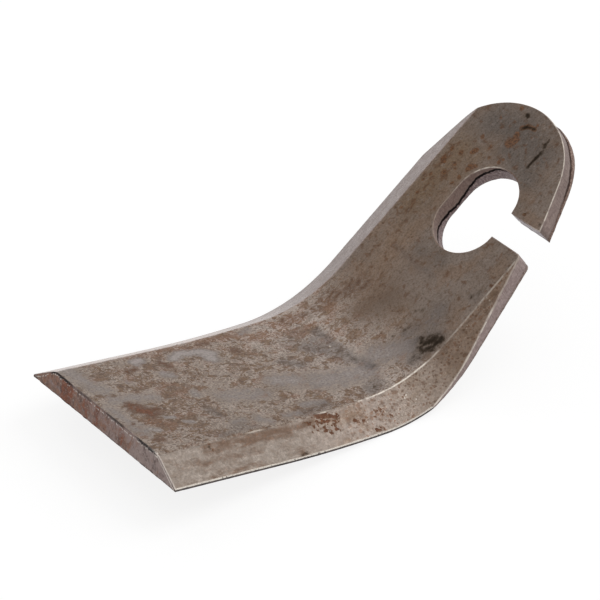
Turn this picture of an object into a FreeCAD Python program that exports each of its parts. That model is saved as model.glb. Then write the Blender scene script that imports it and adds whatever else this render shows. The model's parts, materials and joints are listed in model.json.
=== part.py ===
# One half of a Y-shaped flail mower knife: a flat steel bar, bevelled along both
# edges, bent up at a rounded elbow, with a blanked round head that holds a slotted
# pin hole and the side slit that turns the head into a hook.
#
# The knife lies as it rests on a table: on the convex side of its bend, cutting leg
# to -X, head up to +X, hook opening to -Y. Millimetres, origin under the middle.
import FreeCAD
import Part
import math
import os

V = FreeCAD.Vector

# Bar section. The bevels are on the concave (front) side of the bend.
BAR_WIDTH = 40.0
BAR_THICKNESS = 4.0
BEVEL_WIDTH = 5.5           # of each bevel, measured across the bar
EDGE_LAND = 0.5             # blunt edge left beside the back face

# Side profile, from the tip of the cutting leg to the head. Radii are of the front face.
LEG_FLAT_LENGTH = 22.0      # cutting leg, straight run from its sheared end
LEAD_RADIUS = 220.0         # soft start of the bend
LEAD_ANGLE = 5.5
BEND_RADIUS = 25.5          # the elbow itself
BEND_ANGLE = 41.0
HEAD_LEG_LENGTH = 41.6      # upper leg, from the end of the bend to the top of the head

# Head outline, in the plane of the upper leg: u from the end of the bend towards the
# top of the head, v across the bar with the hook's opening towards -v.
HEAD_RADIUS = 14.9
HEAD_OFFSET = 3.0           # head centre stands this far towards the closed side
NOSE_ANGLE = 22.5           # slope of the two flanks that run into the head's arc
TAPER_START = -9.2          # the hook side's long taper starts inside the bend
NECK_HALF_WIDTH = 14.4      # from the bar's middle to the hook side, at the slit

# Pin hole and slit
HOLE_WIDTH = 13.0
HOLE_LENGTH = 17.4
HOLE_CENTRE_U = 21.0
HOLE_OFFSET = -0.4          # towards the hook side
SLIT_WIDTH = 5.3
SLIT_CENTRE_U = 21.4
SLIT_CORNER_RADIUS = 1.0    # the corner below the slit is worn round

CUT_MARGIN = 6.0            # how far cutting tools reach past the metal


def bar_section():
    """Trapezoid across the bar at the cutting leg's inner end: front face at z=0, back face below."""
    half = BAR_WIDTH / 2
    face_half = half - BEVEL_WIDTH
    corners = [
        (-face_half, 0.0),
        (face_half, 0.0),
        (half, EDGE_LAND - BAR_THICKNESS),
        (half, -BAR_THICKNESS),
        (-half, -BAR_THICKNESS),
        (-half, EDGE_LAND - BAR_THICKNESS),
    ]
    points = [V(0, y, z) for y, z in corners]
    return Part.Face(Part.makePolygon(points + points[:1]))


def bend_centre_above(point, slope, radius):
    """Centre of a bend of the front face that starts at this point with this slope."""
    return point + V(-math.sin(slope), 0, math.cos(slope)) * radius


def bent_bar():
    """The bevelled bar: straight leg, soft lead-in, elbow and straight upper leg.

    Returns the solid, the centre and first slope of each bend, and the placement of
    the upper leg's front face.
    """
    section = bar_section()
    point = V(0, 0, 0)
    slope = 0.0
    bends = []
    pieces = [section.extrude(V(-LEG_FLAT_LENGTH, 0, 0))]
    for radius, turn in ((LEAD_RADIUS, LEAD_ANGLE), (BEND_RADIUS, BEND_ANGLE)):
        centre = bend_centre_above(point, slope, radius)
        bends.append((centre, slope))
        pieces.append(section.revolve(centre, V(0, -1, 0), turn))
        section = section.copy()
        section.rotate(centre, V(0, -1, 0), turn)
        slope += math.radians(turn)
        point = centre - V(-math.sin(slope), 0, math.cos(slope)) * radius
    along = V(math.cos(slope), 0, math.sin(slope))
    pieces.append(section.extrude(along * HEAD_LEG_LENGTH))
    bar = pieces[0].fuse(pieces[1:]).removeSplitter()
    upper_leg = FreeCAD.Placement(point, FreeCAD.Rotation(V(0, -1, 0), math.degrees(slope)))
    return bar, bends, upper_leg


def head_point(direction):
    """Point of the head's arc whose outward normal has this angle from the head's +u."""
    centre_u = HEAD_LEG_LENGTH - HEAD_RADIUS
    angle = math.radians(direction)
    return V(centre_u + HEAD_RADIUS * math.cos(angle), HEAD_OFFSET + HEAD_RADIUS * math.sin(angle), 0)


def along_flank(start, slope, v=None, u=None):
    """Point at the given u or v on the straight line through start with this slope dv/du."""
    if u is None:
        u = start.x + (v - start.y) / slope
    return V(u, start.y + (u - start.x) * slope, 0)


def rounded_corner(before, corner, after, radius):
    """Tangent points and middle point of an arc that rounds a corner between two straight lines."""
    to_before = (before - corner).normalize()
    to_after = (after - corner).normalize()
    half_angle = to_before.getAngle(to_after) / 2
    reach = radius / math.tan(half_angle)
    middle = corner + (to_before + to_after).normalize() * (radius / math.sin(half_angle) - radius)
    return corner + to_before * reach, middle, corner + to_after * reach


def head_waste():
    """Everything round the head and in the slit that the blanking tool takes away, as one face."""
    half = BAR_WIDTH / 2
    outer = half + CUT_MARGIN
    top = HEAD_LEG_LENGTH + CUT_MARGIN
    slope = math.tan(math.radians(NOSE_ANGLE))
    slit_low = SLIT_CENTRE_U - SLIT_WIDTH / 2
    slit_high = SLIT_CENTRE_U + SLIT_WIDTH / 2
    normal = 90.0 - NOSE_ANGLE

    taper_start = V(TAPER_START, -half, 0)
    below_slit = V(slit_low, -NECK_HALF_WIDTH, 0)
    slit_low_inner = V(slit_low, HOLE_OFFSET, 0)
    slit_high_inner = V(slit_high, HOLE_OFFSET, 0)
    hook_end = head_point(-normal)
    above_slit = along_flank(hook_end, slope, u=slit_high)
    closed_end = head_point(normal)
    closed_outer = along_flank(closed_end, -slope, v=outer)
    round_start, round_middle, round_end = rounded_corner(
        taper_start, below_slit, slit_low_inner, SLIT_CORNER_RADIUS)

    edges = [
        Part.makeLine(taper_start, round_start),
        Part.Arc(round_start, round_middle, round_end).toShape(),
        Part.makeLine(round_end, slit_low_inner),
        Part.makeLine(slit_low_inner, slit_high_inner),
        Part.makeLine(slit_high_inner, above_slit),
        Part.makeLine(above_slit, hook_end),
        Part.Arc(hook_end, head_point(0), closed_end).toShape(),
        Part.makeLine(closed_end, closed_outer),
        Part.makeLine(closed_outer, V(top, outer, 0)),
        Part.makeLine(V(top, outer, 0), V(top, -outer, 0)),
        Part.makeLine(V(top, -outer, 0), V(TAPER_START, -outer, 0)),
        Part.makeLine(V(TAPER_START, -outer, 0), taper_start),
    ]
    return Part.Face(Part.Wire(edges))


def pin_hole():
    """Racetrack outline of the pin hole, long way along the bar."""
    radius = HOLE_WIDTH / 2
    straight = HOLE_LENGTH / 2 - radius
    low = HOLE_CENTRE_U - straight
    high = HOLE_CENTRE_U + straight
    left = HOLE_OFFSET + radius
    right = HOLE_OFFSET - radius
    edges = [
        Part.makeLine(V(low, right, 0), V(high, right, 0)),
        Part.Arc(V(high, right, 0), V(high + radius, HOLE_OFFSET, 0), V(high, left, 0)).toShape(),
        Part.makeLine(V(high, left, 0), V(low, left, 0)),
        Part.Arc(V(low, left, 0), V(low - radius, HOLE_OFFSET, 0), V(low, right, 0)).toShape(),
    ]
    return Part.Face(Part.Wire(edges))


def punch(face, placement):
    """Prism of a flat outline, square to the upper leg and through its whole thickness."""
    tool = face.extrude(V(0, 0, BAR_THICKNESS + 2 * CUT_MARGIN))
    tool.translate(V(0, 0, -BAR_THICKNESS - CUT_MARGIN))
    tool.Placement = placement.multiply(tool.Placement)
    return tool


def at_rest(shape, bends):
    """The blade as it balances on its convex side, centred over the origin on the floor.

    It touches the floor under the centre of the bend that its centre of mass hangs
    below, or lies on the flat cutting leg where the weight is short of both bends.
    """
    heavy = shape.CenterOfMass
    tilt = 0.0
    for centre, first_slope in bends:
        lean = math.atan2(heavy.x - centre.x, centre.z - heavy.z)
        if lean >= first_slope:
            tilt = lean
    shape.rotate(heavy, V(0, 1, 0), math.degrees(tilt))
    box = shape.optimalBoundingBox()
    shape.translate(V(-(box.XMin + box.XMax) / 2, -(box.YMin + box.YMax) / 2, -box.ZMin))
    return shape


bar, bends, upper_leg = bent_bar()
blade = bar.cut([punch(head_waste(), upper_leg), punch(pin_hole(), upper_leg)]).removeSplitter()
blade = at_rest(blade.Solids[0], bends)

os.makedirs("parts", exist_ok=True)
blade.exportStep("parts/blade.step")
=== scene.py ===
# One half of a flail mower knife lying on a pale studio floor, on the convex side of its bend.
#
# The blade is built the way it is made: as a flat pattern that is then carried round the bend.
# In the flat pattern s runs along the bar, v across it and n into its thickness, in millimetres.
# s is 0 where the cutting leg starts to bend, v is negative on the side of the slit, and n is 0
# on the concave front face. u is s measured from the end of the bend.
import json
import math

import bpy
import numpy as np
from mathutils import Matrix, Vector, noise
from mathutils.geometry import delaunay_2d_cdt


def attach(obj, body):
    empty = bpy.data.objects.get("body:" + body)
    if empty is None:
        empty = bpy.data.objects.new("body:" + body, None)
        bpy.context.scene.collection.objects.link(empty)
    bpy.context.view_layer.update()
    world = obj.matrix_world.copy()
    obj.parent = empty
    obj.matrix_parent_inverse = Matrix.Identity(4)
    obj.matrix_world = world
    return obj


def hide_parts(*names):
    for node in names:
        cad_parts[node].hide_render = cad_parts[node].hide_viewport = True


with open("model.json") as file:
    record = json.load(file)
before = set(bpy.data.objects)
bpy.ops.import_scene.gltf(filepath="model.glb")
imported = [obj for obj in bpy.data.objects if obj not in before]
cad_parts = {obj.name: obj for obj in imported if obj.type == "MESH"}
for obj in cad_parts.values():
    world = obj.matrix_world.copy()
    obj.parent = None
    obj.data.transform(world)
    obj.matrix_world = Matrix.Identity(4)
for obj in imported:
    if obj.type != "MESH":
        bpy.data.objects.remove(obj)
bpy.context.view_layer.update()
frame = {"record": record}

MM = 0.001

# Bar and bend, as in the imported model
HALF_WIDTH = 20.0
THICKNESS = 4.0
BEVEL_WIDTH = 5.5
EDGE_LAND = 0.5
LEG_FLAT_LENGTH = 22.0
LEAD_RADIUS = 220.0
LEAD_TURN = math.radians(5.5)
BEND_RADIUS = 25.5
BEND_TURN = math.radians(41.0)
HEAD_LEG_LENGTH = 41.6

# Head, hole and slit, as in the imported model
HEAD_RADIUS = 14.9
HEAD_OFFSET = 3.0
NOSE_ANGLE = math.radians(22.5)
TAPER_START = -9.2
NECK_HALF_WIDTH = 14.4
HOLE_RADIUS = 6.5
HOLE_LENGTH = 17.4
HOLE_CENTRE_U = 21.0
HOLE_OFFSET = -0.4
SLIT_WIDTH = 5.3
SLIT_CENTRE_U = 21.4
SLIT_CORNER_RADIUS = 1.0

FACE_HALF = HALF_WIDTH - BEVEL_WIDTH
BEVEL_SLOPE = (THICKNESS - EDGE_LAND) / BEVEL_WIDTH
LEAD_LENGTH = LEAD_RADIUS * LEAD_TURN
HEAD_START = LEAD_LENGTH + BEND_RADIUS * BEND_TURN
FULL_TURN = LEAD_TURN + BEND_TURN
HOLE_STRAIGHT = HOLE_LENGTH / 2 - HOLE_RADIUS
SLIT_LOW = SLIT_CENTRE_U - SLIT_WIDTH / 2
SLIT_HIGH = SLIT_CENTRE_U + SLIT_WIDTH / 2

# Crease between face and bevel: its softness at the head, what the leg adds, and where that comes in
CREASE_SOFTNESS = 0.12
LEG_SOFTENING = 0.45
SOFTENS_BETWEEN = (16.0, -2.0)

# How each kind of side was cut: rounding of its front edge and of its back edge, roughness before
# and beyond the crack where the metal tore, how deep the crack is and how far down it lies
SIDES = {
    "edge": (0.10, 0.10, 0.02, 0.02, 0.00, 0.60),
    "taper": (0.16, 0.20, 0.02, 0.06, 0.05, 0.80),
    "slit": (0.12, 0.22, 0.02, 0.07, 0.12, 0.78),
    "hole": (0.12, 0.12, 0.02, 0.06, 0.30, 0.66),
    "hook": (0.11, 0.10, 0.03, 0.04, 0.25, 0.66),
    "flank": (0.11, 0.10, 0.02, 0.04, 0.15, 0.70),
    "end": (0.12, 0.15, 0.05, 0.10, 0.00, 0.60),
}
KIND_PASSES = 6  # how often neighbouring kinds are averaged, so that they run into each other
ROUNDING_SHARE = (0.25, 0.3)  # most of a side's height that its front and its back rounding may take
# Places (u, v) along the hole and the hook where the crack is seen, and how far down it lies there
CRACKS = (
    (29.3, 1.8, 0.15), (27.9, 4.1, 0.31), (25.8, 5.5, 0.43), (23.3, 6.1, 0.70), (20.3, 6.1, 0.81),
    (16.7, 5.7, 0.64), (14.7, 4.7, 0.47), (13.3, 3.0, 0.41), (12.4, 1.0, 0.30), (14.2, -4.9, 0.55),
    (26.0, -13.4, 0.90), (29.6, -11.9, 0.84), (33.7, -10.2, 0.76), (36.2, -8.5, 0.68),
    (38.0, -6.7, 0.66), (39.6, -4.5, 0.70), (40.8, -2.0, 0.80), (41.6, 3.0, 0.80), (32.4, 16.8, 0.70),
)
CRACK_RANGE = (0.12, 0.93)
CRACK_LIP = 0.14  # from the crack's bottom to each of its lips
LIP_SHARE = 0.4  # and at most this share of the band beside it
CRACK_FLARE = 0.3  # share of the crack's depth that the torn band starts with
SMOOTH_ROWS = (0.05, 0.2, 0.4, 0.6, 0.8, 1.0)
ROUGH_ROWS = (0.0, 0.3, 0.6, 1.0)
ROUNDING = tuple(math.radians(a) for a in (22.5, 45.0, 67.5))
SLIT_LEAN = 0.28  # how far the hook's slit wall leans into the slit at the front face
LEAN_PASSES = 2
SAME_PLACE = 0.01
# How far the torn metal stands out at the back edge of the head, by v, and between which shares
# of the torn band it grows to that
BURR_AT = (-13.0, -10.0, -6.0, 9.0, 13.0)
BURR = (0.05, 0.10, 0.34, 0.34, 0.0)
BURR_GROWS = (-0.2, 0.7)
BURR_LIMIT = 0.03  # how far past the tip of the head it may reach
# How much of the bright rim, a painted highlight that is partly wear, shows where an edge's rounding
# starts on the face, and where it ends
RIM_START = 0.3
RIM_END = 0.8

# Unevenness by noise: its middle, its reach, waves per millimetre, seed and octaves
FRONT_WEAR = (1.0, 0.5, 0.35, 3.0, 3)
BACK_WEAR = (1.0, 0.4, 0.5, 9.0, 2)
CRACK_DRIFT = (0.0, 0.05, 0.4, 21.0, 1)
CRACK_JITTER = (0.0, 0.05, 1.3, 5.0, 3)
SHEAR_STREAKS = (0.5, 0.5, 1.3, 31.0, 2)
STREAK_STRETCH = 0.15
CRACK_DEPTH = (0.75, 0.5, 0.9, 41.0, 2)
TORN_LUMPS = (0.6, 0.9, 0.8, 51.0, 3)
FRONT_RELIEF = (0.03, 0.03, 0.10, 71.0, 2)
BACK_RELIEF = (0.03, 0.03, 0.12, 81.0, 2)
MARK_WANDER = ((0.0, 0.35, 0.45, 101.0, 2), (0.0, 0.35, 0.45, 111.0, 2))

# Mesh density
EDGE_STEP = 0.3
FRONT_STEP = 0.3
BACK_STEP = 0.8
SHARP_TURN = math.sin(math.radians(30.0))
CORNER_ROOM = 0.9
MITRE_LIMIT = 0.6  # keeps offsets short at sharp corners
RIM = 0.12  # narrow flat strip inside each rounded edge, so that it shades crisply
ROW_SHARE = 0.866  # distance between rows of points, as a share of the points' spacing
EDGE_SHARE = 0.55  # and the least distance from the loop around them
CREASE_ROWS = np.array([-0.5, -0.25, -0.08, 0.08, 0.25, 0.5])
CREASE_ROOM = 0.7  # other rows keep this far from a crease
POINTS_AT_ONCE = 2000
# For the triangulation: what it gives back, and how close two points may be
INSIDE_ONLY = 1
MERGE_DISTANCE = 1e-6
TINY = 1e-9
FACET = 0.008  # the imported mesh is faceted, so its lowest line lies a few microns above the arc

# Camera: place, aim and focal length, with the image taken as 600 pixels wide
CAMERA_AZIMUTH = math.radians(-38.15)
CAMERA_ELEVATION = math.radians(33.11)
CAMERA_ROLL = math.radians(1.22)
CAMERA_DISTANCE = 0.5823
CAMERA_TARGET = Vector((-0.00819, 0.0, 0.01715))
CAMERA_CLIP = (0.05, 20.0)
FOCAL_PIXELS = 3511.0
IMAGE_PIXELS = 600
SENSOR_WIDTH = 36.0

# Studio: square lamps with azimuth, elevation, distance, size and power, then floor and room
LAMPS = {"key": (80.0, 47.0, 1.3, 0.9, 5.0), "back": (165.0, 30.0, 1.4, 1.0, 3.0)}
FLOOR_HALF = 3.0
FLOOR_COLOUR = (0.23, 0.23, 0.23, 1.0)
FLOOR_GLOW = 0.84
ROOM_LIGHT = 0.5
ROOM_GLOW = 0.5
WHITE = (1.0, 1.0, 1.0, 1.0)


def bend_through(s, v, n):
    """Points of the flat pattern carried round the bend, before the blade is laid down."""
    s, v, n = np.broadcast_arrays(np.asarray(s, float), v, n)
    before, beyond = np.minimum(s, 0), np.maximum(s - HEAD_START, 0)
    lead = np.clip(s / LEAD_RADIUS, 0, LEAD_TURN)
    slope = lead + np.clip((s - LEAD_LENGTH) / BEND_RADIUS, 0, BEND_TURN)
    x = before + LEAD_RADIUS * np.sin(lead) + BEND_RADIUS * (np.sin(slope) - np.sin(lead))
    z = LEAD_RADIUS * (1 - np.cos(lead)) + BEND_RADIUS * (np.cos(lead) - np.cos(slope))
    x, z = x + beyond * np.cos(slope), z + beyond * np.sin(slope)
    return np.stack([x + n * np.sin(slope), v, z - n * np.cos(slope)], -1)


def resting_place():
    """Turn and shift that lay the blade down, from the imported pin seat's place and axis."""
    seat = next(m for m in frame["record"]["mounts"] if m["name"] == "pin_seat")
    tilt = FULL_TURN - math.atan2(seat["axis"][0], -seat["axis"][2])
    turn = np.array([
        [math.cos(tilt), 0, math.sin(tilt)],
        [0, 1, 0],
        [-math.sin(tilt), 0, math.cos(tilt)],
    ])
    bent = bend_through(HEAD_START + HOLE_CENTRE_U + HOLE_STRAIGHT, HOLE_OFFSET, THICKNESS / 2)
    return turn, np.array(seat["pos_m"]) - turn @ bent * MM


TURN, SHIFT = resting_place()


def placed(flat):
    """Points of the flat pattern, one row of s, v, n each, as metres in the part's frame."""
    return bend_through(*flat.T) @ TURN.T * MM + SHIFT


def ripple(points, middle, reach, scale, seed, octaves):
    """Smooth noise at each point, to about reach on both sides of the middle."""
    points = points * scale
    total = np.zeros(len(points))
    for octave in range(octaves):
        k = 2 ** octave
        total += [noise.noise(Vector((x * k + seed, y * k, z * k))) / k for x, y, z in points]
    return middle + reach * total


def step(value, low, high):
    """Smooth step from 0 at low to 1 at high."""
    t = np.clip((value - low) / (high - low), 0, 1)
    return t * t * (3 - 2 * t)


def front_depth(s, v):
    """Depth of the front surface: 0 on the face, down the two bevels towards the edges."""
    softness = CREASE_SOFTNESS + LEG_SOFTENING * step(s, *SOFTENS_BETWEEN)
    past = np.abs(v) - FACE_HALF
    return BEVEL_SLOPE * (past + np.sqrt(past ** 2 + softness ** 2)) / 2


def unrolled(u):
    """Length along the front face of a point that lies u along the upper leg's plane."""
    inside = np.clip(-u / BEND_RADIUS, 0, 1)
    return HEAD_START + np.where(u < 0, -BEND_RADIUS * np.arcsin(inside), u)


def outline():
    """Edge of the flat pattern as one counter-clockwise loop of (s, v), and each point's kind.

    It is a single loop, because the slit opens the hole to the outside.
    """
    points, kinds = [], []

    def line(start, end, kind, head=True):
        """A straight run, on the upper leg's plane (u, v) or, without head, on the bar (s, v)."""
        count = max(1, math.ceil(math.dist(start, end) / EDGE_STEP))
        for t in np.arange(count) / count:
            u, v = np.array(start) * (1 - t) + np.array(end) * t
            points.append((float(unrolled(u)) if head else u, v))
            kinds.append(kind)

    def arc(centre, radius, first, last, kind):
        """A run round a centre on the upper leg's plane, between two angles."""
        count = max(2, math.ceil(abs(last - first) * radius / EDGE_STEP))
        for t in np.arange(count) / count:
            angle = first + (last - first) * t
            u = centre[0] + radius * math.cos(angle)
            points.append((float(unrolled(u)), centre[1] + radius * math.sin(angle)))
            kinds.append(kind)

    taper_angle = math.atan2(HALF_WIDTH - NECK_HALF_WIDTH, SLIT_LOW - TAPER_START)
    round_reach = SLIT_CORNER_RADIUS * math.tan((math.pi / 2 - taper_angle) / 2)
    round_start = (SLIT_LOW - round_reach * math.cos(taper_angle),
                   -NECK_HALF_WIDTH - round_reach * math.sin(taper_angle))
    round_centre = (SLIT_LOW - SLIT_CORNER_RADIUS, -NECK_HALF_WIDTH + round_reach)
    hole_low = (HOLE_CENTRE_U - HOLE_STRAIGHT, HOLE_OFFSET)
    hole_high = (HOLE_CENTRE_U + HOLE_STRAIGHT, HOLE_OFFSET)
    hole_side = HOLE_OFFSET + HOLE_RADIUS
    enter = math.acos((SLIT_LOW - hole_low[0]) / HOLE_RADIUS)
    leave = math.acos((SLIT_HIGH - hole_high[0]) / HOLE_RADIUS)
    head = (HEAD_LEG_LENGTH - HEAD_RADIUS, HEAD_OFFSET)
    side = math.pi / 2 - NOSE_ANGLE
    slope = math.tan(NOSE_ANGLE)
    hook_end = (head[0] + HEAD_RADIUS * math.cos(side), head[1] - HEAD_RADIUS * math.sin(side))
    closed_end = (hook_end[0], head[1] + HEAD_RADIUS * math.sin(side))
    above_slit = (SLIT_HIGH, hook_end[1] - (hook_end[0] - SLIT_HIGH) * slope)
    closed_edge = (closed_end[0] - (HALF_WIDTH - closed_end[1]) / slope, HALF_WIDTH)

    line((-LEG_FLAT_LENGTH, -HALF_WIDTH), (float(unrolled(TAPER_START)), -HALF_WIDTH), "edge", False)
    line((TAPER_START, -HALF_WIDTH), round_start, "taper")
    arc(round_centre, SLIT_CORNER_RADIUS, taper_angle - math.pi / 2, 0, "taper")
    line((SLIT_LOW, round_centre[1]), (SLIT_LOW, HOLE_OFFSET - HOLE_RADIUS * math.sin(enter)), "slit")
    arc(hole_low, HOLE_RADIUS, 2 * math.pi - enter, math.pi / 2, "hole")
    line((hole_low[0], hole_side), (hole_high[0], hole_side), "hole")
    arc(hole_high, HOLE_RADIUS, math.pi / 2, -leave, "hole")
    line((SLIT_HIGH, HOLE_OFFSET - HOLE_RADIUS * math.sin(leave)), above_slit, "slit")
    line(above_slit, hook_end, "flank")
    arc(head, HEAD_RADIUS, -side, side, "hook")
    line(closed_end, closed_edge, "flank")
    line((HEAD_START + closed_edge[0], HALF_WIDTH), (-LEG_FLAT_LENGTH, HALF_WIDTH), "edge", False)
    line((-LEG_FLAT_LENGTH, HALF_WIDTH), (-LEG_FLAT_LENGTH, -HALF_WIDTH), "end", False)
    return clear_of_corners(np.array(points), np.array(kinds))


def directions(loop):
    """Unit vectors from each point of a loop to the next, and from the one before to it."""
    ahead = np.roll(loop, -1, 0) - loop
    ahead /= np.linalg.norm(ahead, axis=1)[:, None]
    return ahead, np.roll(ahead, 1, 0)


def clear_of_corners(loop, kinds):
    """The loop without the points that crowd its sharp outer corners, where rounded rows would cross."""
    ahead, behind = directions(loop)
    sharp = behind[:, 0] * ahead[:, 1] - behind[:, 1] * ahead[:, 0] > SHARP_TURN
    to_corner = np.linalg.norm(loop[:, None] - loop[sharp][None], axis=2).min(1)
    keep = sharp | (to_corner > CORNER_ROOM)
    return loop[keep], kinds[keep]


def inward_normals(loop):
    """Inward direction at each corner of a counter-clockwise loop, longer at corners to keep offsets even."""
    left_ahead, left_behind = (np.column_stack([-d[:, 1], d[:, 0]]) for d in directions(loop))
    middle = left_ahead + left_behind
    middle /= np.linalg.norm(middle, axis=1)[:, None]
    return middle / np.maximum(np.sum(middle * left_ahead, 1), MITRE_LIMIT)[:, None]


def smoothed(values, passes):
    """Values along a closed loop, averaged with their neighbours a few times."""
    for _ in range(passes):
        values = (np.roll(values, 1) + 2 * values + np.roll(values, -1)) / 4
    return values


def side_rows(loop, kinds):
    """Rows of points from the front face round each edge and down the sides to the back face.

    Each row gives its flat-pattern points, how much of the front rim it is, which the finishes paint
    bright in places as a highlight that is partly wear, and how far below the crack it lies in
    millimetres. The loop's length up to each of its points comes last.
    """
    inward = inward_normals(loop)
    length = np.cumsum(np.linalg.norm(np.roll(loop, -1, 0) - loop, axis=1))
    along = np.column_stack([loop, 0 * length])
    columns = np.array([SIDES[kind] for kind in kinds]).T
    front, back, smooth, rough, groove, crack = [smoothed(column, KIND_PASSES) for column in columns]
    top = front_depth(*loop.T)
    height = THICKNESS - top
    front = np.minimum(front * ripple(along, *FRONT_WEAR), ROUNDING_SHARE[0] * height)
    back = np.minimum(back * ripple(along, *BACK_WEAR), ROUNDING_SHARE[1] * height)

    seen = np.array(CRACKS) + (HEAD_START, 0, 0)
    nearest = [np.linalg.norm(loop - place, axis=1).argmin() for place in seen[:, :2]]
    order = np.argsort(nearest)
    traced = np.interp(np.arange(len(loop)), np.array(nearest)[order], seen[order, 2])
    crack = np.where(np.isin(kinds, ("hole", "hook", "flank")), traced, crack)
    crack = np.clip(crack + ripple(along, *CRACK_DRIFT) + ripple(along, *CRACK_JITTER), *CRACK_RANGE)
    first, last = top + front, THICKNESS - back
    torn = first + crack * (last - first)
    lip = np.minimum(CRACK_LIP, LIP_SHARE * np.minimum(torn - first, last - torn))

    burr = np.isin(kinds, ("hook", "flank")) * np.interp(loop[:, 1], BURR_AT, BURR)
    tip = HEAD_START + HEAD_LEG_LENGTH + BURR_LIMIT
    slit_wall = (np.abs(loop[:, 0] - HEAD_START - SLIT_HIGH) < SAME_PLACE) & (loop[:, 1] < 0)
    lean = smoothed(SLIT_LEAN * slit_wall, LEAN_PASSES)
    rows = []

    def row(inset, depth, rim=0.0, base=loop):
        """Adds a row that lies inset from the base, at a depth of its own or that of the front surface."""
        points = base + inward * np.reshape(inset, (-1, 1))
        points[:, 0] = np.minimum(points[:, 0], tip)
        depth = depth(*points.T) if callable(depth) else depth + np.zeros(len(points))
        points[:, 0] -= lean * (1 - depth / THICKNESS)
        rows.append((np.column_stack([points, depth]), rim, depth - torn))

    row(front + RIM, front_depth)
    row(front, front_depth, np.where(kinds == "edge", 1.0, RIM_START))
    for a in ROUNDING:
        row(front * (1 - math.sin(a)), top + front * (1 - math.cos(a)), 1.0)
    row(0 * front, first, RIM_END)
    for q in SMOOTH_ROWS:
        level = first + q * (torn - lip - first)
        streaks = ripple(np.column_stack([loop, STREAK_STRETCH * level]), *SHEAR_STREAKS)
        row(smooth * streaks, level)
    row(groove * ripple(along, *CRACK_DEPTH), torn)
    for q in ROUGH_ROWS:
        level = torn + lip + q * (last - torn - lip)
        dent = rough * ripple(np.column_stack([loop, level]), *TORN_LUMPS)
        dent = dent + CRACK_FLARE * groove * (1 - q) ** 2
        row(np.maximum(dent, 0) - burr * step(q, *BURR_GROWS), level)
    keep = rows[-1][0][:, :2]
    for a in reversed(ROUNDING):
        row(back * (1 - math.sin(a)), THICKNESS - back * (1 - math.cos(a)), base=keep)
    row(back, THICKNESS, base=keep)
    row(back + RIM, THICKNESS, base=keep)
    return rows, length


def distance_inside(points, loop):
    """Distance of each point to the loop, negative for points outside it."""
    start, end = loop, np.roll(loop, -1, 0)
    edge = end - start
    result = []
    for block in np.array_split(points, max(1, len(points) // POINTS_AT_ONCE)):
        offset = block[:, None] - start[None]
        t = np.clip((offset * edge).sum(2) / (edge ** 2).sum(1), 0, 1)
        near = np.sqrt((((offset - t[..., None] * edge) ** 2).sum(2)).min(1))
        s, v = block[:, :1], block[:, 1:]
        passes = (start[:, 1] <= v) != (end[:, 1] <= v)
        rise = np.where(edge[:, 1] == 0, 1, edge[:, 1])
        crossing = start[:, 0] + (v - start[:, 1]) / rise * edge[:, 0]
        inside = (passes & (crossing > s)).sum(1) % 2 == 1
        result.append(np.where(inside, near, -near))
    return np.concatenate(result)


def filling(loop, spacing, creases):
    """Points spread evenly inside a loop, with close rows of points along the two creases."""
    low, high = loop.min(0), loop.max(0)
    rows = np.arange(low[1], high[1], spacing * ROW_SHARE)
    if creases:
        clear = np.abs(np.abs(rows) - FACE_HALF) >= CREASE_ROOM
        rows = np.concatenate([rows[clear], FACE_HALF + CREASE_ROWS, -FACE_HALF + CREASE_ROWS])
    points = []
    for i, v in enumerate(rows):
        s = np.arange(low[0] + (i % 2) * spacing / 2, high[0], spacing)
        points.append(np.column_stack([s, 0 * s + v]))
    points = np.concatenate(points)
    return points[distance_inside(points, loop) > EDGE_SHARE * spacing]


def filled(loop, spacing, creases):
    """Triangles over the inside of a loop. Returns all its points, the loop's first, and the triangles."""
    points = np.concatenate([loop, filling(loop, spacing, creases)])
    border = [list(range(len(loop)))]
    found = delaunay_2d_cdt([Vector(p) for p in points], [], border, INSIDE_ONLY, MERGE_DISTANCE)
    source = [ids[0] for ids in found[3]]
    return points, [[source[i] for i in face] for face in found[2]]


def blade_mesh():
    """The whole blade as one closed mesh: flat-pattern points, faces with their groups, and fields.

    The fields are the rim, which the finishes paint bright in places as a highlight that is partly
    wear, the distance below the crack and the length along the outline.
    """
    loop, kinds = outline()
    rows, length = side_rows(loop, kinds)
    count = len(loop)
    flat = [points for points, _, _ in rows]
    fields = [np.column_stack([rim + 0 * length, below, length]) for _, rim, below in rows]
    faces, groups = [], []
    for r in range(len(rows) - 1):
        a, b = r * count, (r + 1) * count
        for i in range(count):
            j = (i + 1) % count
            faces.append((a + i, b + i, b + j, a + j))
            groups.append("front" if r == 0 else "back" if r == len(rows) - 2 else kinds[i])
    for ring, spacing, group in ((0, FRONT_STEP, "front"), (len(rows) - 1, BACK_STEP, "back")):
        front = group == "front"
        points, triangles = filled(rows[ring][0][:, :2], spacing, front)
        inner = points[count:]
        first = sum(map(len, flat))
        depth = front_depth(*inner.T) if front else np.full(len(inner), THICKNESS)
        flat.append(np.column_stack([inner, depth]))
        below = -THICKNESS if front else THICKNESS
        fields.append(np.column_stack([0 * depth, 0 * depth + below, 0 * depth]))
        for triangle in triangles:
            named = [ring * count + i if i < count else first + i - count for i in triangle]
            faces.append(tuple(named if front else reversed(named)))
            groups.append(group)
    return np.concatenate(flat), np.concatenate(fields), faces, groups


def relief(flat, below):
    """Slight unevenness of the rolled and worn surfaces, always into the metal."""
    moved = flat.copy()
    front, back = below == -THICKNESS, below == THICKNESS
    moved[front, 2] += np.maximum(ripple(flat[front], *FRONT_RELIEF), 0)
    moved[back, 2] -= np.maximum(ripple(flat[back], *BACK_RELIEF), 0)
    moved[:, 2] = np.minimum(moved[:, 2], THICKNESS - FACET)
    return moved


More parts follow.
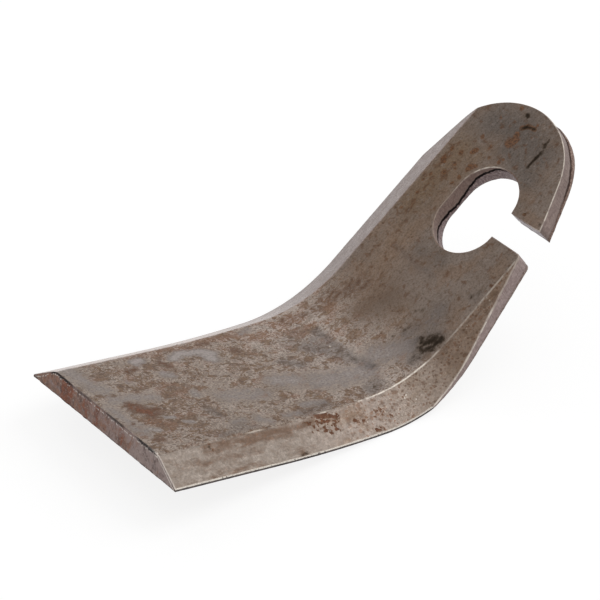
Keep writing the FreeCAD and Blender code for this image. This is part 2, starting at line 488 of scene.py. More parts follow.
def rgb(red, green, blue):
    """An sRGB colour, 0 to 255 each, as Blender's linear colour."""
    linear = [c / 255 / 12.92 if c <= 10 else ((c / 255 + 0.055) / 1.055) ** 2.4 for c in (red, green, blue)]
    return (*linear, 1.0)


# Two colours that several finishes share: a painted highlight for edges and creases, and a painted
# shadow for the leg end's upper edge
BRIGHT = (232, 222, 210)
EDGE_SHADOW_COLOUR = (30, 22, 20)
# Ranges of noise that many steps use: nearly all of it, and its middle
WHOLE = (0.3, 0.7)
MIDDLE = (0.38, 0.62)


class Nodes:
    """Builds the nodes of a material or world. Most methods return the socket with their result."""

    def __init__(self, owner):
        owner.use_nodes = True
        self.tree = owner.node_tree

    def put(self, kind, inputs, **settings):
        """A new node, with its inputs given by name or number."""
        node = self.tree.nodes.new(kind)
        for key, value in settings.items():
            setattr(node, key, value)
        for key, value in inputs.items():
            self.feed(node.inputs[key], value)
        return node

    def feed(self, socket, value):
        """Links a socket to another, or gives it a value of its own."""
        if isinstance(value, bpy.types.NodeSocket):
            self.tree.links.new(value, socket)
        else:
            socket.default_value = value

    def math(self, operation, a, b=0.0):
        return self.put("ShaderNodeMath", {0: a, 1: b}, operation=operation).outputs[0]

    def times(self, a, b):
        return self.math("MULTIPLY", a, b)

    def most(self, a, b):
        return self.math("MAXIMUM", a, b)

    def total(self, *terms):
        """Sum of the terms, each a value or a pair of a value and its weight."""
        parts = [self.times(*term) if isinstance(term, tuple) else term for term in terms]
        result = parts[0]
        for part in parts[1:]:
            result = self.math("ADD", result, part)
        return result

    def step(self, value, low, high, start=0.0, end=1.0):
        """Smooth step from start, where value is low, to end, where it is high."""
        inputs = {"Value": value, "From Min": low, "From Max": high, "To Min": start, "To Max": end}
        return self.put("ShaderNodeMapRange", inputs, interpolation_type="SMOOTHSTEP").outputs[0]

    def near(self, value, centre, inner, outer):
        """1 where value lies within inner of centre, fading to 0 at outer."""
        return self.step(self.math("ABSOLUTE", self.total(value, -centre)), outer, inner)

    def mix(self, factor, a, b, blend="MIX"):
        """Colour a where factor is 0 and b where it is 1. A colour of three numbers is sRGB."""
        a, b = (rgb(*c) if isinstance(c, tuple) and len(c) == 3 else c for c in (a, b))
        node = self.put("ShaderNodeMix", {0: factor, 6: a, 7: b}, data_type="RGBA", blend_type=blend)
        return node.outputs[2]

    def scaled(self, colour, factor):
        return self.mix(1.0, colour, factor, "MULTIPLY")

    def over(self, colour, *layers):
        """The colour under layers of other shades.

        A layer is its shade and how much of it there is. Or it is its shade, a value, where the
        shade starts and where it is full by that value, and how much of it there is when full.
        """
        for shade, factor, *ramp in layers:
            if ramp:
                low, high, *amount = ramp
                factor = self.step(factor, low, high, 0.0, *amount)
            colour = self.mix(factor, colour, shade)
        return colour


class Steel(Nodes):
    """Nodes of one finish of the steel, with the places and the unevenness that all of them use.

    flat is the place in the flat pattern, and s, v and n its parts. fine, mottle and cloud are
    noise of three sizes: specks, mottle and clouds.
    """

    def __init__(self, name):
        self.material = bpy.data.materials.new(name)
        super().__init__(self.material)
        self.fields = {}
        self.flat = self.put("ShaderNodeAttribute", {}, attribute_name="flat").outputs["Vector"]
        self.s, self.v, self.n = self.put("ShaderNodeSeparateXYZ", {0: self.flat}).outputs
        self.fine = self.noise(self.flat, 2.6, 4, 0.62)
        self.mottle = self.noise(self.stretched(0.9, 1.2), 0.95, 6, 0.66, 0.3)
        self.cloud = self.noise(self.stretched(0.75, 1.0), 0.16, 6, 0.62, 0.6)

    def field(self, name):
        """What the mesh carries under this name."""
        if name not in self.fields:
            self.fields[name] = self.put("ShaderNodeAttribute", {}, attribute_name=name).outputs["Fac"]
        return self.fields[name]

    def stretched(self, s, v, n=1.0):
        """The place in the flat pattern with each part scaled."""
        inputs = {0: self.flat, 1: (s, v, n)}
        return self.put("ShaderNodeVectorMath", inputs, operation="MULTIPLY").outputs[0]

    def noise(self, vector, scale, detail, roughness, distortion=0.0):
        inputs = {"Vector": vector, "Scale": scale, "Detail": detail, "Roughness": roughness,
                  "Distortion": distortion}
        return self.put("ShaderNodeTexNoise", inputs).outputs[0]

    def wavy(self, scale, amount):
        """The place pushed about by noise, so that what is laid out on it gets uneven outlines."""
        inputs = {"Vector": self.flat, "Scale": scale, "Detail": 2.0}
        push = self.put("ShaderNodeTexNoise", inputs).outputs[1]
        inputs = {0: push, 1: (amount, amount, amount), 2: self.flat}
        return self.put("ShaderNodeVectorMath", inputs, operation="MULTIPLY_ADD").outputs[0]

    def dots(self, vector, scale, reach, soft):
        """Round spots of uneven size, at most one to a cell: 1 inside them and 0 outside."""
        cell = self.put("ShaderNodeTexVoronoi", {"Vector": vector, "Scale": scale})
        chance = self.put("ShaderNodeSeparateColor", {0: cell.outputs["Color"]}).outputs[0]
        inside = self.total((chance, reach), (cell.outputs["Distance"], -1.0))
        return self.step(inside, -soft / 2, soft / 2)

    def finish(self, colour, roughness, height, metallic=0.4, bump=0.06):
        """Ends the material: its colour, its roughness and its bumps, bump millimetres high."""
        shader = self.tree.nodes["Principled BSDF"]
        bumps = self.put("ShaderNodeBump", {"Strength": 1.0, "Distance": bump * MM, "Height": height})
        ends = {"Base Color": colour, "Roughness": roughness, "Metallic": metallic,
                "Specular IOR Level": 0.25, "Normal": bumps.outputs[0]}
        for name, value in ends.items():
            self.feed(shader.inputs[name], value)


def leg_face(m):
    """Colour of the cutting leg's face: worn steel under soft brown stains with pale ragged borders."""
    blots = m.noise(m.stretched(0.8, 1), 0.34, 5, 0.6, 0.6)
    cells = m.noise(m.stretched(0.95, 1.15), 0.85, 4, 0.58, 1)
    dense = m.total((blots, 0.55), (cells, 0.5), (m.field("stain"), 0.13), (m.field("bare"), -0.25))
    brown = m.over((90, 67, 50), ((115, 90, 69), m.mottle, *MIDDLE))
    red = m.total(m.noise(m.stretched(0.8, 1), 0.45, 3, 0.5, 0.3), (m.field("warm"), 0.16))
    open_steel = m.step(m.total(blots, m.field("bare")), 0.68, 0.46)
    rings = m.times(m.near(cells, 0.5, 0.01, 0.042), open_steel)
    borders = m.times(m.near(dense, 0.51, 0, 0.026), m.step(m.mottle, 0.38, 0.54))
    return m.over(
        (124, 109, 97),
        ((140, 126, 115), m.cloud, *MIDDLE),
        (brown, dense, 0.46, 0.62),
        ((116, 83, 62), red, 0.54, 0.7, 0.65),
        ((168, 155, 145), m.times(m.most(rings, borders), 0.76)),
        ((158, 144, 132), m.fine, 0.56, 0.68, 0.36),
        ((80, 62, 50), m.fine, 0.45, 0.33, 0.62),
    )


def upper_face(m, warm, cool, stain):
    """Colour of the upper leg's face: brown-grey mill scale in soft reddish, grey and olive clouds."""
    tint = m.noise(m.stretched(0.8, 1), 0.22, 3, 0.5)
    spots = m.total(m.noise(m.flat, 0.75, 2, 0.45, 0.3), (warm, 0.04), (stain, 0.12))
    reddish = m.over((122, 99, 80), ((112, 90, 68), m.s, 48, 56))
    return m.over(
        (113, 98, 87),
        ((122, 108, 98), m.cloud, 0.38, 0.6),
        ((122, 100, 83), tint, 0.48, 0.64, 0.6),
        (reddish, m.times(warm, 0.8)),
        ((90, 81, 75), m.times(cool, 0.85)),
        ((86, 54, 28), spots, 0.56, 0.72, 0.62),
        ((90, 70, 52), m.mottle, 0.52, 0.66, 0.42),
        ((132, 120, 112), m.mottle, 0.46, 0.34, 0.4),
        ((70, 56, 46), m.fine, 0.44, 0.32, 0.46),
    )


def ground_bevel(m):
    """Colour of the ground bevels: pale, the slit side's stained in streaks and pitted towards the bend.

    The closed side's near-white on the leg is a painted reflection, and the slit side's lighter band
    from s 22 to 30 is painted light.
    """
    closed, stain = m.math("GREATER_THAN", m.v, 0), m.field("stain")
    # The slit side, with painted light in its lighter band from s 22 to 30
    slit_side = m.over(
        (127, 116, 107),
        ((141, 128, 119), m.s, 0, 18),
        ((166, 150, 138), m.s, 22, 30),
        ((136, 116, 101), m.s, 31, 38),
    )
    # The closed side: near-white on the leg by a painted reflection, and darker over the bend
    closed_side = m.over((195, 179, 172), ((140, 124, 120), m.s, 8, 34))
    streaks = m.noise(m.stretched(0.4, 1.5), 0.6, 6, 0.66, 0.5)
    streaks = m.total((streaks, 1.4), (stain, 0.5), (closed, -0.7))
    stained = m.step(m.noise(m.stretched(0.7, 1.3), 0.3, 3, 0.5), 0.48, 0.64, 0, 0.3)
    stained = m.times(stained, m.total(m.step(m.s, 4, 12), (closed, -1)))
    where = m.times(m.most(m.step(m.s, 6, 20), m.times(stain, 0.8)), m.total(1, (closed, -0.8)))
    pits = m.most(m.dots(m.wavy(1.2, 0.7), 1.9, 0.54, 0.22), m.dots(m.wavy(0.9, 1.2), 0.62, 0.36, 0.16))
    pitted = m.over((114, 79, 54), ((88, 63, 45), m.mottle, 0.4, 0.6))
    bright = m.times(m.dots(m.wavy(1, 0.5), 1.3, 0.26, 0.1), m.step(m.s, 8, 22, 0, 0.45))
    return m.over(
        slit_side,
        (closed_side, closed),
        ((110, 92, 76), m.mottle, 0.46, 0.64, 0.34),
        ((160, 148, 138), m.mottle, 0.48, 0.34, 0.3),
        ((86, 62, 44), streaks, 0.66, 1.26, 0.85),
        ((128, 103, 80), m.most(stained, 0)),
        (pitted, m.times(m.times(pits, where), 0.62)),
        ((186, 174, 162), bright),
    )


def front_steel(m):
    """Rolled face and ground bevels, with rust, soot, bare spots and worn edges where the blade has them.

    Its glints, the bright rim along worn edges and the line on the crease are painted highlights, and
    the dark rim at the leg's end is a painted shadow.
    """
    uneven = m.total((m.mottle, 1.5), (m.fine, 0.7), -1.1)

    def ragged(name, amount=1):
        """A mark with its outline broken up, and nothing where there is no mark."""
        return m.total(m.field(name), m.times(uneven, m.step(m.field(name), 0.02, 0.3, 0, amount)))

    # The leg's colours give way to the upper leg's towards the end of the bend
    leg = m.step(m.total(m.s, (m.cloud, 16), (m.fine, 14)), 59, 41)
    upper = upper_face(m, m.field("warm"), m.field("cool"), m.field("stain"))
    upper = m.scaled(upper, m.step(m.s, 54, 44, 1, 1.08))
    lower = m.scaled(leg_face(m), m.step(m.s, -16, 24, 0.97, 1.05))
    lower = m.mix(m.near(m.s, 25, 5, 13), lower, (1.09, 1.12, 1.16, 1), "MULTIPLY")
    side = m.math("ABSOLUTE", m.v)
    bevel = m.step(m.total(side, (m.fine, 0.4)), FACE_HALF, FACE_HALF + 0.3)

    # Bare steel, rust, which lies in clusters of small spots on the bevel, then haze, smudges and soot
    pale = m.over((126, 117, 113), ((150, 141, 137), ragged("bare", 0.8), 0.55, 1.1))
    brown = m.over((80, 50, 26), ((106, 67, 36), m.fine, 0.4, 0.6))
    clusters = m.times(m.total(m.dots(m.wavy(1.6, 0.5), 2, 0.85, 0.4), -0.6), bevel)
    rust = m.total(ragged("rust"), m.times(clusters, m.step(m.field("rust"), 0.02, 0.3)))
    glow = m.times(m.step(rust, 0.75, 1.1), m.step(m.fine, 0.54, 0.66, 0, 0.8))
    smudge = m.times(m.step(m.field("smudge"), 0, 1), m.step(m.mottle, 0.35, 0.55, 0.6, 1))
    soot = ragged("soot", 1.25)
    colour = m.over(
        m.mix(bevel, m.mix(leg, upper, lower), ground_bevel(m)),
        (m.mix(leg, (108, 99, 95), pale), ragged("bare", 1.5), 0.05, 0.85, 0.88),
        (brown, ragged("spots", 0.5), 0.16, 0.52, 0.8),
        (m.mix(bevel, (92, 66, 49), (106, 72, 46)), rust, 0.1, 0.5, 0.8),
        (m.mix(bevel, (108, 70, 52), (90, 54, 34)), rust, 0.45, 0.9, 0.85),
        ((138, 90, 66), m.times(glow, m.total(1, (bevel, -0.6)))),
        ((96, 79, 66), m.times(m.field("haze"), 0.65)),
        ((84, 77, 75), m.times(smudge, 0.6)),
        ((72, 57, 42), soot, 0, 0.7, 0.66),
        ((40, 30, 19), soot, 0.4, 1.05, 0.88),
    )
    colour = m.scaled(colour, m.step(m.fine, 0.28, 0.72, 0.82, 1.18))

    # Painted highlights: the glints, the bright rim along the edges where they are worn, and the line on
    # the crease between face and bevel. Elsewhere the rim is brown, with a painted shadow at the leg's end.
    rim = m.times(m.field("rim"), m.step(m.mottle, 0.34, 0.52, 0.25, 1))
    dull = m.over((108, 80, 60), ((118, 106, 100), m.s, -15, -20), (EDGE_SHADOW_COLOUR, m.field("edge_shadow")))
    crease_highlight = m.times(m.near(side, FACE_HALF - 0.15, 0.08, 0.24), m.step(m.mottle, 0.36, 0.56))
    colour = m.over(
        colour,
        ((226, 217, 206), ragged("glint", 0.6), 0.35, 0.6),
        (m.mix(m.field("wear_and_highlight"), dull, BRIGHT), rim),
        (BRIGHT, m.times(crease_highlight, m.field("crease_highlight"))),
    )
    roughness = m.total(m.step(m.mottle, *WHOLE, 0.38, 0.52), m.step(rust, *WHOLE, 0, 0.2),
                        (bevel, -0.14), m.step(soot, 0.2, 0.7, 0, 0.45))
    height = m.total((m.fine, 0.6), (m.mottle, 0.7), m.step(rust, 0.2, 0.8, 0, 0.5))
    m.finish(colour, roughness, height)


def cut_steel(m, dark, light, torn_dark, torn_light):
    """Cut sides: a smooth sheared band, a crack where the metal tore, darkened with painted shade, then the
    torn band.
    """
    below = m.field("below")
    across = {0: m.times(m.field("run"), 3.2), 1: m.times(below, 0.25)}
    lines = m.noise(m.put("ShaderNodeCombineXYZ", across).outputs[0], 1, 3, 0.6)
    ragged = m.total(below, (m.fine, 0.3), (m.mottle, 0.3))
    # Painted shade along the crack, as strong as the marks set it
    crack = m.times(m.near(ragged, 0.36, 0.18, 0.5), m.field("crack_shade"))
    colour = m.over(
        dark,
        (light, m.mottle, *MIDDLE),
        ((92, 74, 68), lines, 0.5, 0.72, 0.45),
        (m.over(torn_dark, (torn_light, m.fine, *MIDDLE)), ragged, 0.25, 0.5),
        ((62, 40, 30), crack, 0.05, 0.6, 0.7),
        ((20, 11, 9), crack, 0.35, 0.95),
    )
    # Lighter where v falls from -9 to -13 and below: painted reflection of the floor
    colour = m.scaled(colour, m.step(m.v, -9, -13, 1, 1.11))
    specks = m.times(m.step(m.fine, 0.58, 0.66, 0, 0.6), m.step(below, 0.3, 0.5))
    colour = m.mix(specks, colour, (190, 165, 143))
    colour = m.scaled(colour, m.step(m.fine, 0.28, 0.72, 0.85, 1.15))
    # The rim: a painted highlight where the edge is worn, else brown
    rim = m.times(m.field("rim"), m.step(m.mottle, 0.34, 0.56, 0.25, 1))
    colour = m.mix(rim, colour, m.mix(m.field("wear_and_highlight"), (116, 90, 72), BRIGHT))
    roughness = m.total(m.step(m.mottle, *WHOLE, 0.46, 0.6), (crack, 0.4))
    height = m.total((lines, 0.4), m.times(m.fine, m.step(below, -0.1, 0.2, 0.3, 1.2)))
    m.finish(colour, roughness, height)


def edge_steel(m):
    """Blunt land of the cutting edges: dark and jagged under a bright worn rim, painted as a highlight."""
    colour = m.over(
        (66, 56, 54),
        ((96, 84, 82), m.mottle, *MIDDLE),
        ((160, 148, 140), m.fine, 0.54, 0.66, 0.7),
        # painted highlight along the rim
        ((228, 220, 210), m.times(m.field("rim"), m.step(m.fine, 0.34, 0.46, 0, 0.95))),
    )
    m.finish(colour, m.step(m.mottle, *WHOLE, 0.35, 0.5), m.fine, bump=0.05)


def end_steel(m):
    """Sheared end of the cutting leg: patchy with rust on one side, dark and chipped at its upper edge.

    The dark line under the upper edge is a painted shadow, and the bright lines along it are painted
    highlights where the edge is worn.
    """
    wear_and_highlight, edge_shadow = m.field("wear_and_highlight"), m.field("edge_shadow")
    patch = m.noise(m.stretched(1, 0.8), 0.38, 6, 0.66, 0.8)
    lines = m.noise(m.stretched(1, 1.3, 0.7), 0.8, 6, 0.7, 0.8)
    grey = m.over((158, 134, 127), ((167, 148, 143), m.v, 2, -14))
    brown = m.over((130, 101, 88), ((158, 117, 97), m.mottle, 0.4, 0.6))
    rust = m.over((112, 70, 54), ((142, 88, 66), m.mottle, 0.42, 0.6))
    rusty = m.total(m.field("rusty"), (m.mottle, 1.6), -0.8)
    lower_edge = m.near(m.total(m.n, (m.mottle, 0.8)), 4.3, 0.08, 0.34)
    # The upper edge is found by the distance under the front surface
    bevelled = m.times(m.most(m.total(m.math("ABSOLUTE", m.v), -FACE_HALF), 0), BEVEL_SLOPE)
    under = m.total(m.n, (bevelled, -1))
    ragged = m.total(under, (m.mottle, 0.9))
    # A painted shadow line in dashes just under the upper edge, and bright chips a little further from the
    # edge
    shadow_line = m.times(m.near(ragged, 0.66, 0.14, 0.44), m.times(edge_shadow, m.step(m.fine, 0.36, 0.48)))
    chips = m.times(m.near(ragged, 1.02, 0.05, 0.16), m.step(m.fine, 0.48, 0.55, 0, 0.9))
    # A second bright line a little under the upper edge, where it is worn: painted highlight
    second_highlight = m.times(m.near(under, 0.62, 0.06, 0.16), wear_and_highlight)
    # The rim along the upper edge: painted highlight where worn, else grey, and dark along the painted shadow
    rim = m.times(m.field("rim"), m.step(m.mottle, 0.36, 0.5, 0.3, 1))
    dull = m.mix(edge_shadow, (124, 110, 104), EDGE_SHADOW_COLOUR)
    colour = m.over(
        grey,
        (brown, m.total((m.v, 0.006), patch), 0.47, 0.6, 0.9),
        ((158, 142, 140), patch, 0.46, 0.34, 0.7),
        ((72, 54, 50), lines, 0.5, 0.64, 0.65),
        (rust, rusty, 0.25, 0.75, 0.9),
        ((52, 38, 34), m.times(lower_edge, m.step(lines, 0.42, 0.56, 0, 0.8))),
        ((190, 172, 162), m.fine, 0.58, 0.66, 0.6),
        ((24, 16, 14), shadow_line),
        ((226, 217, 209), chips),
        (m.mix(wear_and_highlight, dull, (232, 222, 212)), m.most(rim, second_highlight)),
    )
    height = m.total((lines, 1.2), m.fine)
    m.finish(colour, m.step(m.mottle, *WHOLE, 0.42, 0.6), height, metallic=0.35, bump=0.1)


def back_steel(m):
    """Rolled back face with the same brown-grey scale."""
    face = upper_face(m, m.step(m.cloud, 0.5, 0.62), m.step(m.cloud, 0.46, 0.36), m.cloud)
    rust = m.total((m.cloud, 1.2), (m.mottle, 1.2))
    colour = m.over(face, ((118, 84, 62), rust, 1.3, 1.5, 0.8))
    height = m.total((m.fine, 0.6), (m.mottle, 0.7))
    m.finish(colour, m.step(m.mottle, *WHOLE, 0.38, 0.52), height)


# Each material: the kinds of surface that it covers and what builds it. For the cut sides come the
# sheared band's darker and lighter colour and then the torn band's. The taper was sheared
# separately, and its paler colours are a painted reflection of the floor. The walls of the slit are
# rubbed bright.
FINISHES = {
    "front": (("front",), front_steel),
    "pierced": (("hole",), cut_steel, (124, 101, 92), (146, 124, 115), (128, 108, 106), (154, 137, 137)),
    "blanked": (
        ("hook", "flank"), cut_steel, (131, 112, 106), (152, 134, 127), (122, 98, 88), (150, 128, 118)),
    "sheared_and_lit": (("taper",), cut_steel, (148, 129, 125), (170, 152, 148), (122, 102, 94), (152, 134, 128)),
    "slit": (("slit",), cut_steel, (178, 168, 170), (202, 193, 196), (150, 137, 136), (180, 169, 170)),
    "edge": (("edge",), edge_steel),
    "end": (("end",), end_steel),
    "back": (("back",), back_steel),
}


def painted(places, strokes):
    """How strongly each place (s, v) is marked: 1 along a stroke's path, fading over its width."""
    result = np.zeros(len(places))
    for strength, width, *path in strokes:
        corners = np.reshape(path, (-1, 2))
        away = np.full(len(places), np.inf)
        for a, b in zip(corners, corners[1:] if len(corners) > 1 else corners):
            along = b - a
            t = np.clip((places - a) @ along / max(along @ along, TINY), 0, 1)
            away = np.minimum(away, np.linalg.norm(places - a - t[:, None] * along, axis=1))
        result = np.maximum(result, strength * np.exp(-(away / width) ** 2))
    return result


